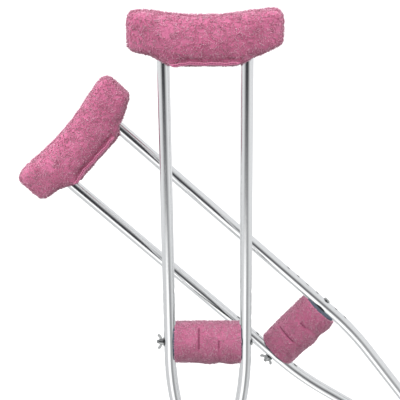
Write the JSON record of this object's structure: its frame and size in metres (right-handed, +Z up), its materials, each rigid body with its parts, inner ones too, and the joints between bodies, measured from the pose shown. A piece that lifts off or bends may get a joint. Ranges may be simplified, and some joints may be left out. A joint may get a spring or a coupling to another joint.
{
  "type": "underarm crutches",
  "caption": "Pair of aluminium underarm crutches with plush pad and grip covers, wing-nut grips, telescoping legs and rubber tips.",
  "frame": {"origin": "centre of the front crutch's hand grip, on the axis of its bolt", "axes": "+Z up along the front crutch, -Z towards its rubber tip, +X along the grip bolt towards its head, +Y to the back, where the second crutch is"},
  "size_m": [0.9935, 0.142, 1.2384],
  "materials": {
    "tube": "polished drawn tube",
    "plush": "short fleece pile",
    "pad_foam": "open-cell foam",
    "grip_foam": "closed-cell foam",
    "moulding": "moulded, fine grain",
    "zinc": "zinc plated",
    "spring_steel": "tempered strip",
    "button_steel": "turned",
    "rubber": "moulded rubber"
  },
  "bodies": {
    "front_frame": {"front_left_side_tube": "tube", "front_right_side_tube": "tube", "front_saddle": "moulding", "front_saddle_rivets": "zinc", "front_underarm_foam": "pad_foam", "front_underarm_cover": "plush", "front_sleeve_tube": "tube", "front_sleeve_cap": "moulding", "front_sleeve_collar": "moulding", "front_clamp_bolts": "zinc", "front_clamp_nuts": "zinc", "front_tube_spacers": "moulding", "front_side_tube_plugs": "moulding"},
    "front_grip": {"front_grip_core": "moulding", "front_grip_foam": "grip_foam", "front_grip_cover": "plush", "front_grip_bolt": "zinc"},
    "front_washer": {"front_wing_nut_washer": "zinc"},
    "front_nut": {"front_wing_nut": "zinc"},
    "front_leg": {"front_leg_tube": "tube", "front_button_spring": "spring_steel", "front_rubber_tip": "rubber", "front_tip_disc": "zinc"},
    "front_near_button": {"front_near_button": "button_steel"},
    "front_far_button": {"front_far_button": "button_steel"},
    "back_frame": {"back_left_side_tube": "tube", "back_right_side_tube": "tube", "back_saddle": "moulding", "back_saddle_rivets": "zinc", "back_underarm_foam": "pad_foam", "back_underarm_cover": "plush", "back_sleeve_tube": "tube", "back_sleeve_cap": "moulding", "back_sleeve_collar": "moulding", "back_clamp_bolts": "zinc", "back_clamp_nuts": "zinc", "back_tube_spacers": "moulding", "back_side_tube_plugs": "moulding"},
    "back_grip": {"back_grip_core": "moulding", "back_grip_foam": "grip_foam", "back_grip_cover": "plush", "back_grip_bolt": "zinc"},
    "back_washer": {"back_wing_nut_washer": "zinc"},
    "back_nut": {"back_wing_nut": "zinc"},
    "back_leg": {"back_leg_tube": "tube", "back_button_spring": "spring_steel", "back_rubber_tip": "rubber", "back_tip_disc": "zinc"},
    "back_near_button": {"back_near_button": "button_steel"},
    "back_far_button": {"back_far_button": "button_steel"}
  },
  "joints": [
    {"name": "front_grip_height", "type": "slide", "parent": "front_frame", "child": "front_grip", "axis": [0, 0, 1], "range_m": [-0.044, 0.088]},
    {"name": "front_washer_slide", "type": "slide", "parent": "front_grip", "child": "front_washer", "axis": [-1, 0, 0], "range_m": [0, 0.0064]},
    {"name": "front_nut_turn", "type": "hinge", "parent": "front_washer", "child": "front_nut", "pos_m": [-0.074, 0, 0], "axis": [-1, 0, 0], "range_deg": [0, 1800]},
    {"name": "front_leg_length", "type": "slide", "parent": "front_frame", "child": "front_leg", "axis": [0, 0, 1], "range_m": [-0.0762, 0.0762]},
    {"name": "front_near_button_press", "type": "slide", "parent": "front_leg", "child": "front_near_button", "axis": [0, 1, 0], "range_m": [0, 0.0034], "stiffness_N_per_m": 1500, "deforming": ["front_button_spring"]},
    {"name": "front_far_button_press", "type": "slide", "parent": "front_leg", "child": "front_far_button", "axis": [0, -1, 0], "range_m": [0, 0.0034], "stiffness_N_per_m": 1500, "deforming": ["front_button_spring"]},
    {"name": "back_crutch_away", "type": "slide", "parent": "front_frame", "child": "back_frame", "axis": [0, 1, 0], "range_m": [0, 0.3]},
    {"name": "back_grip_height", "type": "slide", "parent": "back_frame", "child": "back_grip", "axis": [-0.7373, 0, 0.6756], "range_m": [-0.044, 0.088]},
    {"name": "back_washer_slide", "type": "slide", "parent": "back_grip", "child": "back_washer", "axis": [-0.6756, 0, -0.7373], "range_m": [0, 0.0064]},
    {"name": "back_nut_turn", "type": "hinge", "parent": "back_washer", "child": "back_nut", "pos_m": [0.10201, 0.07, -0.06546], "axis": [-0.6756, 0, -0.7373], "range_deg": [0, 1800]},
    {"name": "back_leg_length", "type": "slide", "parent": "back_frame", "child": "back_leg", "axis": [-0.7373, 0, 0.6756], "range_m": [-0.0762, 0.0762]},
    {"name": "back_near_button_press", "type": "slide", "parent": "back_leg", "child": "back_near_button", "axis": [0, 1, 0], "range_m": [0, 0.0034], "stiffness_N_per_m": 1500, "deforming": ["back_button_spring"]},
    {"name": "back_far_button_press", "type": "slide", "parent": "back_leg", "child": "back_far_button", "axis": [0, -1, 0], "range_m": [0, 0.0034], "stiffness_N_per_m": 1500, "deforming": ["back_button_spring"]}
  ],
  "couplings": [
    {"joint": "front_washer_slide", "follows": "front_nut_turn", "m_per_rad": 0.00020213},
    {"joint": "back_washer_slide", "follows": "back_nut_turn", "m_per_rad": 0.00020213}
  ]
}
